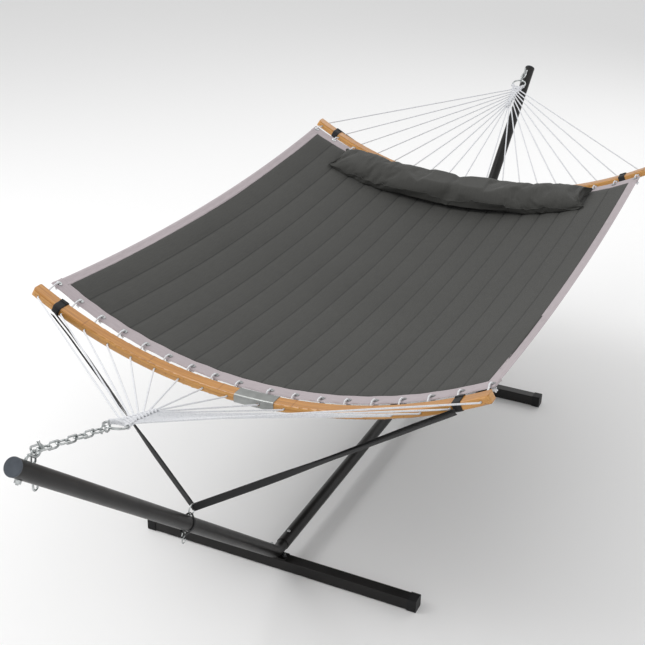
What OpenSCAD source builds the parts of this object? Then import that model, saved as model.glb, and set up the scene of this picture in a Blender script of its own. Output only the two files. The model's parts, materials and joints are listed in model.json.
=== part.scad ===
// Two-person quilted hammock hung on a free-standing steel tube stand.
// Millimetres. +X runs along the stand to the head end, +Y to the left, +Z up; the floor is z = 0.
// The stand is symmetric, so both of its ends come from the same modules.

/* [Stand] */
// Distance between the centres of the two feet
foot_spacing = 1380; // [1150:10:1660]
// Length of each square foot tube
foot_length = 954; // [790:2:1150]
// Side of the square foot tube
foot_side = 40; // [34:1:50]
// Wall of the square foot tube
foot_wall = 1.6; // [1.2:0.1:3]
// Wall of the plastic cap on each end of a foot
foot_cap_wall = 2; // [1.5:0.1:3]
// Depth of the cap's sleeve over the foot tube
foot_cap_depth = 28; // [16:1:45]
// Outer diameter of the arms and the beam
tube_od = 42; // [36:1:51]
// Wall of the arms and the beam
tube_wall = 1.5; // [1.2:0.1:2.4]
// Wall of the bent elbows that join them
elbow_wall = 2; // [1.5:0.1:3]
// Centreline radius of an elbow's bend
elbow_bend_r = 60; // [50:1:70]
// How far an elbow reaches into the arm and into the beam
elbow_overlap = 110; // [95:1:160]
// Angle of the arms above the floor
arm_angle = 41; // [36:1:46]
// Length from the elbow's bend to the arm's tip
arm_reach = 1520; // [1270:10:1830]

/* [Buttons and bolts] */
// Diameter of a locking button
button_d = 10; // [8:0.5:12]
// How far a locking button stands out of its tube
button_proud = 4; // [3:0.5:5]
// Thread diameter of the foot bolts
foot_bolt_d = 8; // [6:1:10]
// Distance between the two bolts of a foot
foot_bolt_pitch = 46; // [44:1:60]

/* [Hooks and chains] */
// Rod diameter of the hooks
hook_rod_d = 7; // [6:0.5:8]
// Distance from an arm's tip to its hook
hook_inset = 35; // [30:1:60]
// Centreline radius of a hook's bowl
hook_bowl_r = 13; // [12:0.5:16]
// Wire diameter of the chain
chain_wire_d = 5; // [4:0.5:5.5]
// Inside length of a chain link
link_inside = 32; // [28:1:37]
// Inside width of a chain link
link_gap = 10; // [9:0.5:12]
// Links between the near hook's link and its S-hook, an even number, with none at the far end
near_links = 6; // [4:2:8]
// Spare links that hang from the near hook's link
spare_links = 4; // [3:1:5]
// Angle of the chains below level
chain_angle = 18; // [14:1:22]
// Wire diameter of the hammock's rings
ring_wire_d = 6; // [5:0.5:7]
// Centreline radius of the hammock's rings
ring_r = 28; // [24:1:32]

/* [Spreader bars] */
// Distance between the two spreader bars
bar_spacing = 1962; // [1760:2:2100]
// Length of a bar, straight across from tip to tip
bar_span = 1400; // [1300:10:1680]
// How far a bar's middle hangs below its tips
bar_rise = 185; // [150:1:220]
// Depth of a bar along the hammock
bar_depth = 42; // [36:1:50]
// Height of a bar's section
bar_height = 25; // [21:1:30]
// How far a bar's tips hang below the chain hooks
bar_drop = 143; // [110:1:180]
// Ropes on each half of a bar
ropes_per_half = 9; // [7:1:10]
// Distance between neighbouring rope holes
rope_pitch = 78.5; // [70:0.5:80]
// Distance of the innermost rope hole from the middle
first_rope = 50; // [45:1:60]
// Diameter of the rope holes
rope_hole_d = 8; // [7:0.5:10]
// Rope diameter
rope_d = 5; // [4:0.5:6]
// Length of the metal sleeve that joins the halves of a bar
sleeve_length = 124; // [104:1:130]
// Wall of the sleeve
sleeve_wall = 1.5; // [1:0.1:2.5]

/* [Bed] */
// Width of the bed
bed_width = 1380; // [1290:2:1390]
// How far the bed sags between the bars
bed_sag = 55; // [30:1:90]
// Thickness of the padding between the two fabrics
padding_t = 10; // [6:1:20]
// Thickness of each fabric layer
fabric_t = 2; // [1:0.5:3]
// Width of the end bands
band_width = 50; // [45:1:70]
// Thickness of the end bands and the side bindings
band_t = 6; // [4:0.5:8]
// Width of the side bindings
binding_width = 28; // [20:1:40]
// Gap between a bar and its end band at the middle
band_gap = 12; // [12:1:20]
// Extra gap at the corners, where the sides of the bed pull in
corner_gap = 24; // [0:1:40]

/* [Pillow] */
// Length of the pillow across the bed
pillow_length = 1070; // [700:10:1200]
// Width of the pillow
pillow_width = 205; // [150:5:280]
// Thickness of the pillow
pillow_t = 88; // [60:1:120]

/* [Straps] */
// Width of the webbing
webbing_w = 25; // [20:1:30]
// Thickness of the webbing
webbing_t = 2; // [1.5:0.1:3]
// Distance from the elbow's bend to the strap ring on the arm
strap_reach = 682; // [500:2:900]

/* [Hidden] */
$fn = 48;

near = -1;
far = 1;
left = 1;
right = -1;

// Clearances
slip = 0.5;        // elbow in its tubes
pin_clear = 0.1;   // locking button in its holes
touch = 0.3;       // metal on metal that only rests
bolt_clear = 0.25; // bolt in its hole

// Stand layout
tube_r = tube_od / 2;
tube_ir = tube_r - tube_wall;
elbow_r = tube_ir - slip;
elbow_ir = elbow_r - elbow_wall;
foot_bottom = foot_cap_wall;
foot_top = foot_bottom + foot_side;
saddle_t = 3;
saddle_length = 36;
saddle_width = foot_bolt_pitch + 18;
saddle_offset = 15;
foot_x = foot_spacing / 2;
elbow_x = foot_x + saddle_offset;
weld = 0.2;
elbow_z = foot_top + saddle_t + elbow_r - weld;
bend_tangent = elbow_bend_r * tan(arm_angle / 2);
arm_mouth = bend_tangent + 8;
beam_mouth = saddle_offset + foot_side / 2 + 10;
arm_cap_t = 4;
arm_cap_plug = 18;

function arm_point(along, up) = [
  elbow_x + along * cos(arm_angle) - up * sin(arm_angle),
  0,
  elbow_z + along * sin(arm_angle) + up * cos(arm_angle)
];

// Foot bolts
bolt_r = foot_bolt_d / 2;
nut_af = foot_bolt_d * 1.625;
nut_h = foot_bolt_d * 0.8;
bolt_head_h = foot_bolt_d * 0.66;
bolt_access_d = nut_af * 1.5;

// Locking buttons, measured from the tube's axis
button_r = button_d / 2;
flange_r = button_r + 1.5;
flange_top = sqrt(elbow_ir * elbow_ir - flange_r * flange_r) - touch;
flange_t = 1.8;
button_top = tube_r + button_proud;
leaf_t = 0.8;
leaf_w = 8;
leaf_top = flange_top - flange_t - 0.2;
leaf_bottom = leaf_w * leaf_w / 8 / elbow_ir - elbow_ir + touch;
leaf_reach = 38;
arm_button_at = arm_mouth + 28;
beam_button_at = beam_mouth + 45;

// Hooks, measured along the arm and up from its axis
hook_r = hook_rod_d / 2;
hook_bend_r = 9;
hook_rise = 3;
hook_run = 16;
hook_tip = 18;
hook_curl = 150;
washer_t = 1.5;
hook_nut_h = 6.5;
hook_at = arm_reach - hook_inset;
bowl_centre = arm_point(
  hook_at - hook_bend_r - hook_run,
  tube_r + hook_rise + hook_bend_r + hook_bowl_r
);
pull = [-cos(chain_angle), 0, -sin(chain_angle)];
wire_r = chain_wire_d / 2;
seat = bowl_centre + (hook_bowl_r - hook_r - wire_r - touch) * pull;

// Chain, measured from the seat along the pull
link_r = link_gap / 2 + wire_r;
link_half = (link_inside + chain_wire_d) / 2;
link_step = link_inside - touch;
s_hook_r = 9;
s_hook_wire_r = 2.5;
ring_wire_r = ring_wire_d / 2;

function chain_end(links) = 2 * link_half + links * link_step;
function s_loop_a(links) = chain_end(links) - wire_r - s_hook_wire_r - touch + s_hook_r;
function ring_contact(links) =
  seat + (s_loop_a(links) + 3 * s_hook_r - s_hook_wire_r - ring_wire_r - touch) * pull;
function links_of(end) = end < 0 ? near_links : 0;

// Spreader bars: circular arcs in the YZ plane, on outward distances from the middle of the stand
bar_half = bar_span / 2;
bar_r = (bar_half * bar_half + bar_rise * bar_rise) / (2 * bar_rise);
bar_tip_z = seat[2] - bar_drop;
bar_axis_z = bar_tip_z - bar_rise + bar_r;
bar_shift = (ring_contact(links_of(far))[0] - ring_contact(links_of(near))[0]) / 2;
bar_corner = 5;
bar_end_round = 10;
sleeve_mid = -35;
sleeve_clear = 0.3;
half_gap = 1;

function bar_out(end) = bar_spacing / 2 + end * bar_shift;
function bar_x(end) = end * bar_out(end);
function bar_angle(y) = asin(y / bar_r);
function bar_z(y) = bar_axis_z - sqrt(bar_r * bar_r - y * y);
function rope_y(i) = first_rope + i * rope_pitch;
wrap_y = rope_y(ropes_per_half - 2) + rope_hole_d / 2 + 2 + webbing_w / 2;

// Ropes and clew, measured from a ring's centre along the spine
rope_r = rope_d / 2;
clew_share = 0.2812;
clew_length = clew_share * (ring_contact(links_of(far))[0] - bar_out(far));
clew_t = 11;
clew_first_exit = 45;
function spine(end) = unit([bar_out(end), 0, bar_z(0.55 * bar_half)] - ring_contact(links_of(end)));
function ring_centre(end) = ring_contact(links_of(end)) + ring_r * spine(end);
function clew_half_width(s) =
  s < 60 ? lookup(s, [[8, 17], [28, 24], [60, 16]]) : lookup(s, [[60, 16], [clew_length, 6]]);
function clew_exit(i) =
  clew_length - 5 - i * (clew_length - 5 - clew_first_exit) / (ropes_per_half - 1);

// Bed: a surface that hangs from both bars
bed_half = bed_width / 2;
bed_lift = bar_height / 2 - 4;
eyelet_inset = 22;
eyelet_r = 4.5;
eyelet_flange_r = 9;
bed_rows = 18;
band_rows = 54;
bed_columns = 16;

function bed_edge(end, y) =
  bar_x(end) - end * (bar_depth / 2 + band_gap + corner_gap * pow(y / bed_half, 2));
function bed_station(from, y) = bed_edge(from[0], y) - from[0] * from[1];
function bed_z(x, y) =
  let (t = (x - bar_x(near)) / bar_spacing) bar_z(y) + bed_lift - 4 * bed_sag * t * (1 - t);
function bed_slope(x) =
  let (t = (x - bar_x(near)) / bar_spacing) atan(-4 * bed_sag * (1 - 2 * t) / bar_spacing);
function bed_normal(y) = [0, -sin(bar_angle(y)), cos(bar_angle(y))];
function mix(a, b, t) = a + (b - a) * t;

// Pillow
pillow_gap = 1.5;
pillow_back = 40;
pillow_skin = 3;

// Straps
strap_ring_r = 15;
strap_ring_wire_r = 2;
strap_ring_up = tube_r + touch + strap_ring_wire_r + strap_ring_r;
strap_low = 7;
strap_hook_wire_r = 1.5;

// ---- Helpers -------------------------------------------------------------------------------

module at_end(end) {
  mirror([end < 0 ? 1 : 0, 0, 0]) children();
}

module both_ends() {
  at_end(near) children();
  at_end(far) children();
}

// Local +Z runs up the arm, local -X is square to it and upward
module arm_frame(along = 0) {
  translate(arm_point(along, 0)) rotate([0, 90 - arm_angle, 0]) children();
}

// Local +Z runs along the chain's pull
module pull_frame(along = 0) {
  translate(seat + along * pull) rotate([0, -90 - chain_angle, 0]) children();
}

// Local +Z runs from the ring's centre to the middle of the bar
module spine_frame(end) {
  d = spine(end);
  translate(ring_centre(end)) rotate([0, atan2(d[0], d[2]), 0]) children();
}

module rounded_rect(w, h, r) {
  square([w - 2 * r, h], center = true);
  square([w, h - 2 * r], center = true);
  for (sx = [-1, 1], sy = [-1, 1])
    translate([sx * (w / 2 - r), sy * (h / 2 - r)]) circle(r);
}

module hex_prism(af, h) {
  cylinder(d = af / cos(30), h = h, $fn = 6);
}

// A bent rod that starts along +Z: each segment is [length], or [radius, angle], and a positive
// angle turns it towards +X. Straights are a hair thinner and run a little into their bends.
module bent_rod(segments, r, i = 0) {
  lap = 0.8;
  if (i < len(segments)) {
    s = segments[i];
    if (len(s) == 1) {
      translate([0, 0, i > 0 ? -lap : 0]) cylinder(r = r - 0.1, h = s[0] + (i > 0 ? 2 : 1) * lap);
      translate([0, 0, s[0]]) bent_rod(segments, r, i + 1);
    } else if (s[1] > 0) {
      translate([s[0], 0, 0]) rotate([90, 0, 0]) rotate([0, 0, 180 - s[1]])
        rotate_extrude(angle = s[1]) translate([s[0], 0]) circle(r);
      translate([s[0], 0, 0]) rotate([0, s[1], 0]) translate([-s[0], 0, 0])
        bent_rod(segments, r, i + 1);
    } else {
      translate([-s[0], 0, 0]) rotate([90, 0, 0])
        rotate_extrude(angle = -s[1]) translate([s[0], 0]) circle(r);
      translate([-s[0], 0, 0]) rotate([0, s[1], 0]) translate([s[0], 0, 0])
        bent_rod(segments, r, i + 1);
    }
  }
}

// An open S: its first loop is centred on the origin and the second one lies towards +Y
module s_shape(r, wire_r) {
  rotate([0, 0, -170]) rotate_extrude(angle = 260) translate([r, 0]) circle(wire_r);
  translate([0, 2 * r, 0]) rotate([0, 0, 10])
    rotate_extrude(angle = 260) translate([r, 0]) circle(wire_r);
  translate([0, r, 0]) rotate([0, 90, 0]) cylinder(r = wire_r + 0.12, h = 1.6, center = true);
}

module ring(r, wire_r) {
  rotate_extrude() translate([r, 0]) circle(wire_r);
}

// A section swept along points: frames[i] = [point, side vector, up vector], section in 2D
module sweep(frames, sections) {
  n = len(sections[0]);
  points = [for (i = [0 : len(frames) - 1], p = sections[i])
    frames[i][0] + p[0] * frames[i][1] + p[1] * frames[i][2]];
  last = (len(frames) - 1) * n;
  walls = [for (i = [0 : len(frames) - 2], j = [0 : n - 1])
    let (a = i * n + j, b = i * n + (j + 1) % n) each [[a, a + n, b + n], [a, b + n, b]]];
  start = [for (j = [1 : n - 2]) [0, j, j + 1]];
  end = [for (j = [1 : n - 2]) [last, last + j + 1, last + j]];
  polyhedron(points, concat(walls, start, end), convexity = 6);
}

function unit(v) = v / norm(v);
function along(points, i) =
  unit((i < len(points) - 1 ? unit(points[i + 1] - points[i]) : [0, 0, 0])
     + (i > 0 ? unit(points[i] - points[i - 1]) : [0, 0, 0]));
function frame_at(points, i, reference) =
  let (t = along(points, i), side = unit(cross(reference, t))) [points[i], side, cross(t, side)];

// A round cord along points, with its own radius at each point
module cord(points, radii, reference, sides = 8) {
  sweep(
    [for (i = [0 : len(points) - 1]) frame_at(points, i, reference)],
    [for (r = radii) [for (k = [0 : sides - 1]) r * [cos(360 * k / sides), sin(360 * k / sides)]]]
  );
}

// A closed slab between two grids of points, under[i][j] and over[i][j]
module slab(under, over) {
  nx = len(under) - 1;
  ny = len(under[0]) - 1;
  m = ny + 1;
  count = (nx + 1) * m;
  points = [for (grid = [under, over], row = grid, p = row) p];
  sheets = [for (i = [0 : nx - 1], j = [0 : ny - 1])
    let (a = i * m + j, b = a + 1, c = a + m, d = c + 1)
    each [[a, c, d], [a, d, b], [count + a, count + d, count + c], [count + a, count + b, count + d]]];
  ends = [for (j = [0 : ny - 1])
    let (a = j, b = j + 1, c = nx * m + j, d = c + 1)
    each [[a, b, count + b], [a, count + b, count + a], [c, count + d, d], [c, count + c, count + d]]];
  sides = [for (i = [0 : nx - 1])
    let (a = i * m, b = a + m, c = i * m + ny, d = c + m)
    each [[a, count + a, count + b], [a, count + b, b], [c, d, count + d], [c, count + d, count + c]]];
  polyhedron(points, concat(sheets, ends, sides), convexity = 4);
}

// A stretch of spreader-bar section between two places across the hammock
module bar_arc(end, y0, y1) {
  a0 = bar_angle(y0);
  a1 = bar_angle(y1);
  translate([bar_x(end), 0, bar_axis_z]) rotate([0, 90, 0]) rotate([0, 0, a0])
    rotate_extrude(angle = a1 - a0, $fn = 180) translate([bar_r, 0]) children();
}

module at_bar(end, y) {
  translate([bar_x(end), y, bar_z(y)]) rotate([bar_angle(y), 0, 0]) children();
}

// ---- Stand ---------------------------------------------------------------------------------

module foot() {
  color("#18181a") translate([foot_x, 0, foot_bottom + foot_side / 2]) difference() {
    rotate([90, 0, 0]) linear_extrude(foot_length, center = true)
      rounded_rect(foot_side, foot_side, 4);
    cube([foot_side - 2 * foot_wall, foot_length + 1, foot_side - 2 * foot_wall], center = true);
    for (s = [-1, 1]) translate([0, s * foot_bolt_pitch / 2, 0]) {
      cylinder(r = bolt_r + bolt_clear, h = foot_side);
      translate([0, 0, -foot_side]) cylinder(d = bolt_access_d, h = foot_side);
    }
  }
}

module foot_end_caps() {
  outer = foot_side + 2 * foot_cap_wall;
  color("#101012") both_ends() for (s = [-1, 1])
    translate([foot_x, s * (foot_length / 2 + foot_cap_wall), outer / 2]) rotate([s * 90, 0, 0])
      difference() {
        linear_extrude(foot_cap_depth + foot_cap_wall) rounded_rect(outer, outer, 5);
        translate([0, 0, foot_cap_wall])
          linear_extrude(foot_cap_depth + 1) rounded_rect(foot_side, foot_side, 4);
      }
}

// The elbow's run; step makes its straights thinner than its bend, and extra makes them longer
module elbow_shape(r, step, extra = 0) {
  lap = 1;
  translate([elbow_x - beam_mouth - elbow_overlap - extra, 0, elbow_z]) rotate([0, 90, 0])
    cylinder(r = r - step, h = beam_mouth + elbow_overlap - bend_tangent + extra + lap);
  translate([elbow_x - bend_tangent, 0, elbow_z + elbow_bend_r]) rotate([90, 0, 0])
    rotate([0, 0, -90]) rotate_extrude(angle = arm_angle) translate([elbow_bend_r, 0]) circle(r);
  arm_frame(bend_tangent - lap)
    cylinder(r = r - step, h = arm_mouth + elbow_overlap - bend_tangent + extra + lap);
}

module elbow() {
  color("#1c1c1e") difference() {
    union() {
      elbow_shape(elbow_r, 0.05);
      translate([foot_x, 0, foot_top + saddle_t / 2])
        cube([saddle_length, saddle_width, saddle_t], center = true);
      translate([foot_x - saddle_length / 2, -8, foot_top])
        cube([saddle_length, 16, saddle_t + 3]);
    }
    elbow_shape(elbow_ir, -0.05, 1);
    for (s = [-1, 1]) translate([foot_x, s * foot_bolt_pitch / 2, foot_top - 1])
      cylinder(r = bolt_r + bolt_clear, h = saddle_t + 2);
    translate([elbow_x - beam_button_at, 0, elbow_z])
      cylinder(r = button_r + pin_clear, h = tube_od);
    arm_frame(arm_button_at) rotate([0, -90, 0]) cylinder(r = button_r + pin_clear, h = tube_od);
  }
}

module foot_bolts() {
  shank = foot_wall + saddle_t + nut_h + 3;
  color("#b9bcc0") both_ends() for (s = [-1, 1])
    translate([foot_x, s * foot_bolt_pitch / 2, foot_top - foot_wall]) {
      cylinder(r = bolt_r, h = shank);
      translate([0, 0, -bolt_head_h]) hex_prism(nut_af, bolt_head_h);
    }
}

module foot_nuts() {
  color("#202124") both_ends() for (s = [-1, 1])
    translate([foot_x, s * foot_bolt_pitch / 2, foot_top + saddle_t]) difference() {
      hex_prism(nut_af, nut_h);
      translate([0, 0, -1]) cylinder(r = bolt_r + 0.02, h = nut_h + 2);
    }
}

module arm() {
  color("#1c1c1e") arm_frame() difference() {
    translate([0, 0, arm_mouth]) cylinder(r = tube_r, h = arm_reach - arm_cap_t - arm_mouth);
    translate([0, 0, arm_mouth - 1]) cylinder(r = tube_ir, h = arm_reach - arm_mouth);
    translate([0, 0, arm_button_at]) rotate([0, -90, 0])
      cylinder(r = button_r + pin_clear, h = tube_od);
    translate([0, 0, hook_at]) rotate([0, -90, 0])
      cylinder(r = hook_r + bolt_clear, h = 2 * tube_od, center = true);
  }
}

module arm_end_caps() {
  plug_r = tube_ir - 0.15;
  color("#5a5e66") both_ends() arm_frame(arm_reach - arm_cap_t) rotate_extrude() difference() {
    union() {
      square([tube_r + 0.5 - 1.5, arm_cap_t]);
      square([tube_r + 0.5, arm_cap_t - 1.5]);
      translate([tube_r + 0.5 - 1.5, arm_cap_t - 1.5]) circle(1.5);
      translate([plug_r - 2, -arm_cap_plug]) square([2, arm_cap_plug + 1]);
    }
    translate([-5, -50]) square([5, 100]);
  }
}

module beam() {
  half = elbow_x - beam_mouth;
  color("#1c1c1e") difference() {
    translate([-half, 0, elbow_z]) rotate([0, 90, 0]) cylinder(r = tube_r, h = 2 * half);
    translate([-half - 1, 0, elbow_z]) rotate([0, 90, 0]) cylinder(r = tube_ir, h = 2 * half + 2);
    both_ends() translate([elbow_x - beam_button_at, 0, elbow_z])
      cylinder(r = button_r + pin_clear, h = tube_od);
  }
}

// The button along +Z from the tube's axis
module button_pin() {
  dome = 2.5;
  lap = 0.5;
  color("#c4c7ca") rotate_extrude() {
    translate([0, flange_top - flange_t]) square([flange_r, flange_t]);
    translate([0, flange_top - lap]) square([button_r, button_top - dome - flange_top + lap]);
    translate([0, button_top - dome - lap]) square([button_r - dome, dome + lap]);
    intersection() {
      translate([button_r - dome, button_top - dome]) circle(dome);
      translate([0, button_top - dome - lap]) square([button_r, dome + lap]);
    }
  }
}

module arm_button() {
  arm_frame(arm_button_at) rotate([0, -90, 0]) button_pin();
}

module beam_button() {
  translate([elbow_x - beam_button_at, 0, elbow_z]) button_pin();
}

// The hairpin spring under a button, with its bend towards +X
module hairpin() {
  mid = (leaf_top + leaf_bottom) / 2;
  bend = (leaf_top - leaf_bottom) / 2;
  translate([-8, -leaf_w / 2, leaf_top - leaf_t]) cube([8 + leaf_reach, leaf_w, leaf_t]);
  translate([-8, -leaf_w / 2, leaf_bottom]) cube([8 + leaf_reach, leaf_w, leaf_t]);
  translate([leaf_reach, 0, mid]) rotate([90, 0, 0]) rotate([0, 0, -90])
    rotate_extrude(angle = 180) translate([bend - leaf_t, -leaf_w / 2]) square([leaf_t, leaf_w]);
}

module button_springs() {
  color("#9fa3a8") both_ends() {
    arm_frame(arm_button_at) rotate([0, -90, 0]) hairpin();
    translate([elbow_x - beam_button_at, 0, elbow_z]) mirror([1, 0, 0]) hairpin();
  }
}

// ---- Hooks and chains ----------------------------------------------------------------------

module hook() {
  below = tube_r + washer_t + hook_nut_h + 3;
  color("#c9ccd0") arm_frame(hook_at) rotate([0, -90, 0]) translate([0, 0, -below])
    bent_rod([[below + tube_r + hook_rise], [hook_bend_r, -90], [hook_run],
              [hook_bowl_r, hook_curl], [hook_tip]], hook_r);
}

module hook_washers() {
  color("#b9bcc0") both_ends() arm_frame(hook_at) rotate([0, -90, 0])
    translate([0, 0, -tube_r - washer_t]) difference() {
      cylinder(r = hook_r + 4.5, h = washer_t);
      translate([0, 0, -1]) cylinder(r = hook_r + bolt_clear, h = washer_t + 2);
    }
}

module hook_nuts() {
  color("#b9bcc0") both_ends() arm_frame(hook_at) rotate([0, -90, 0])
    translate([0, 0, -tube_r - washer_t - hook_nut_h]) difference() {
      hex_prism(13, hook_nut_h);
      translate([0, 0, -1]) cylinder(r = hook_r + 0.02, h = hook_nut_h + 2);
    }
}

// A chain link in the XZ plane, long way along Z
module link() {
  straight = link_half - link_r;
  for (s = [-1, 1]) translate([s * link_r, 0, -straight]) cylinder(r = wire_r, h = 2 * straight);
  for (m = [0, 1]) mirror([0, 0, m]) translate([0, 0, straight]) rotate([90, 0, 0])
    rotate_extrude(angle = 180) translate([link_r, 0]) circle(wire_r);
}

module hook_links() {
  color("#c9ccd0") both_ends() pull_frame(link_half) rotate([0, 0, 90]) link();
}

// The spare links hang beside the arm, from the side of the near hook's link: the first leans out
// over the arm, the second a little, and the others hang straight
spare_first = 60;
spare_second = 8;
spare_rest = chain_wire_d + touch;

function lean(a) = [0, sin(a), -cos(a)];

module hung_link(from, a, twist) {
  translate(from + (link_half - spare_rest) * lean(a)) rotate([180 + a, 0, 0])
    rotate([0, 0, twist]) link();
}

module spare_chain() {
  p1 = seat + link_half * pull + [0, link_r, 0];
  p2 = p1 + (2 * link_half - spare_rest - link_r) * lean(spare_first) + link_r * lean(spare_second);
  p3 = p2 + link_step * lean(spare_second);
  color("#c9ccd0") at_end(near) {
    hung_link(p1, spare_first, 90);
    hung_link(p2, spare_second, 0);
    for (k = [3 : spare_links])
      hung_link(p3 - [0, 0, (k - 3) * link_step], 0, k % 2 == 1 ? 90 : 0);
  }
}

module chain(links) {
  color("#c9ccd0") for (k = [1 : links]) pull_frame(link_half + k * link_step)
    rotate([0, 0, k % 2 == 0 ? 90 : 0]) link();
}

module s_hook(links) {
  color("#c9ccd0") pull_frame(s_loop_a(links)) rotate([90, 0, 0]) s_shape(s_hook_r, s_hook_wire_r);
}

module hammock_ring(end) {
  color("#c9ccd0") spine_frame(end) rotate([0, 90, 0]) ring(ring_r, ring_wire_r);
}

// ---- Ropes ---------------------------------------------------------------------------------

module clew(end) {
  stations = [8, 28, 60, clew_length];
  outline = concat(
    [for (s = stations) [s, clew_half_width(s)]],
    [for (i = [3 : -1 : 0]) [stations[i], -clew_half_width(stations[i])]]
  );
  color("#e9ebee") spine_frame(end) difference() {
    rotate([0, -90, 0]) linear_extrude(clew_t, center = true) polygon(outline);
    rotate([0, 90, 0]) ring(ring_r, ring_wire_r + touch);
  }
}

function spine_point(end, s, y) = ring_centre(end) + s * spine(end) + [0, y, 0];

// The route of a rope from the clew through the bar to its knot under the eyelet
function rope_route(end, i, side) =
  let (
    y = side * rope_y(i),
    out = bar_out(end),
    s = clew_exit(i),
    edge = end * bed_edge(end, y),
    up = bed_normal(y),
    eye_x = edge - eyelet_inset,
    eye = [eye_x, y, bed_z(end * eye_x, y)],
    lip = [edge, y, bed_z(end * edge, y)],
    over = band_t / 2 + rope_r + 2
  ) [
    spine_point(end, s, side * (clew_half_width(s) + rope_r + 0.5)),
    [out + bar_depth / 2 + 4, y, bar_z(y)],
    [out - bar_depth / 2 - 3, y, bar_z(y)],
    lip + [rope_r + 2, 0, 0] + (over - 3.5) * up,
    lip + [-3, 0, 0] + over * up,
    eye + [3, 0, 0] + over * up,
    eye + (over - 3) * up,
    eye - (band_t / 2 + 2) * up,
    eye - (band_t / 2 + 4) * up,
    eye - (band_t / 2 + 11) * up,
    eye - (band_t / 2 + 14) * up
  ];

module ropes(end, side) {
  radii = [for (k = [0 : 10]) k < 8 ? rope_r : k < 10 ? 2 * rope_r : rope_r * 0.8];
  color("#f1f2f4") at_end(end) for (i = [0 : ropes_per_half - 1]) {
    a = bar_angle(side * rope_y(i));
    cord(rope_route(end, i, side), radii, [0, cos(a), sin(a)]);
  }
}

// ---- Spreader bars -------------------------------------------------------------------------

module bar_holes(end, y0, y1, d) {
  for (i = [0 : ropes_per_half - 1], s = [-1, 1])
    if (s * rope_y(i) > y0 && s * rope_y(i) < y1)
      translate([bar_x(end), s * rope_y(i), bar_z(rope_y(i))]) rotate([0, 90, 0])
        cylinder(d = d, h = 2 * bar_depth, center = true);
}

module bar_half_piece(end, side) {
  meet = sleeve_mid + side * half_gap / 2;
  tip = side * bar_half;
  y0 = min(meet, tip);
  y1 = max(meet, tip);
  color("#c98b3d") difference() {
    bar_arc(end, y0, y1) rounded_rect(bar_height, bar_depth, bar_corner);
    bar_holes(end, y0, y1, rope_hole_d);
    at_screws(end) cylinder(r = screw_r + 0.03, h = screw_length);
    at_bar(end, tip) for (s = [-1, 1])
      translate([s * (bar_depth / 2 - bar_end_round), -side * bar_end_round, 0]) difference() {
        translate([s * bar_end_round, side * bar_end_round, 0])
          cube([2 * bar_end_round, 2 * bar_end_round, 2 * bar_height], center = true);
        cylinder(r = bar_end_round, h = 3 * bar_height, center = true);
      }
  }
}

module bar_sleeve(end) {
  y0 = sleeve_mid - sleeve_length / 2;
  y1 = sleeve_mid + sleeve_length / 2;
  inner_h = bar_height + 2 * sleeve_clear;
  inner_d = bar_depth + 2 * sleeve_clear;
  color("#a9acad") difference() {
    bar_arc(end, y0, y1) difference() {
      rounded_rect(inner_h + 2 * sleeve_wall, inner_d + 2 * sleeve_wall, bar_corner + sleeve_wall);
      rounded_rect(inner_h, inner_d, bar_corner);
    }
    bar_holes(end, y0, y1, rope_hole_d + 2);
    at_screws(end) translate([0, 0, -5]) cylinder(r = screw_r + 0.15, h = 10);
  }
}

screw_r = 1.75;
screw_length = 14;
screw_under = bar_height / 2 + sleeve_clear + sleeve_wall;

module at_screws(end) {
  for (s = [-1, 1]) at_bar(end, sleeve_mid + s * sleeve_length * 0.4)
    translate([0, 0, -screw_under]) children();
}

module sleeve_screws() {
  color("#b9bcc0") for (end = [near, far]) at_screws(end) {
    translate([0, 0, -2]) cylinder(r = 3.4, h = 2);
    translate([0, 0, -0.5]) cylinder(r = screw_r, h = screw_length);
  }
}

// ---- Bed -----------------------------------------------------------------------------------

// A grid of the bed between two stations and two rows, at one height over its middle surface.
// A station is [end, distance in from that end's edge].
function bed_grid(from, to, y0, y1, h, nx, ny) = [for (i = [0 : nx]) [for (j = [0 : ny])
  let (y = mix(y0, y1, j / ny), x = mix(bed_station(from, y), bed_station(to, y), i / nx))
  [x, y, bed_z(x, y)] + h * bed_normal(y)]];

module bed_piece(from, to, y0, y1, h0, h1, nx, ny) {
  slab(bed_grid(from, to, y0, y1, h0, nx, ny), bed_grid(from, to, y0, y1, h1, nx, ny));
}

module bed_layer(h0, h1) {
  y = bed_half - binding_width - touch;
  s = band_width + touch;
  bed_piece([near, s], [far, s], -y, y, h0, h1, bed_columns, bed_rows);
}

module bed_top_fabric() {
  color("#4e4f4c") bed_layer(padding_t / 2, padding_t / 2 + fabric_t);
}

module bed_padding() {
  color("#d8d8d4") bed_layer(-padding_t / 2, padding_t / 2);
}

module bed_bottom_fabric() {
  color("#4e4f4c") bed_layer(-padding_t / 2 - fabric_t, -padding_t / 2);
}

module at_eyelets(end) {
  for (i = [0 : ropes_per_half - 1], s = [-1, 1]) {
    y = s * rope_y(i);
    x = bed_station([end, eyelet_inset], y);
    translate([x, y, bed_z(x, y)]) rotate([bar_angle(y), -bed_slope(x), 0]) children();
  }
}

module end_band(end) {
  edge = [end, 0];
  seam = [end, band_width];
  color("#bdb1b6") difference() {
    bed_piece(end < 0 ? edge : seam, end < 0 ? seam : edge, -bed_half, bed_half,
      -band_t / 2, band_t / 2, 1, band_rows);
    at_eyelets(end) cylinder(r = eyelet_r + touch, h = 4 * band_t, center = true, $fn = 16);
  }
}

module side_bindings() {
  y = bed_half - binding_width;
  s = band_width + touch;
  color("#bdb1b6") for (y0 = [-bed_half, y])
    bed_piece([near, s], [far, s], y0, y0 + binding_width, -band_t / 2, band_t / 2, bed_columns, 1);
}

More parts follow.
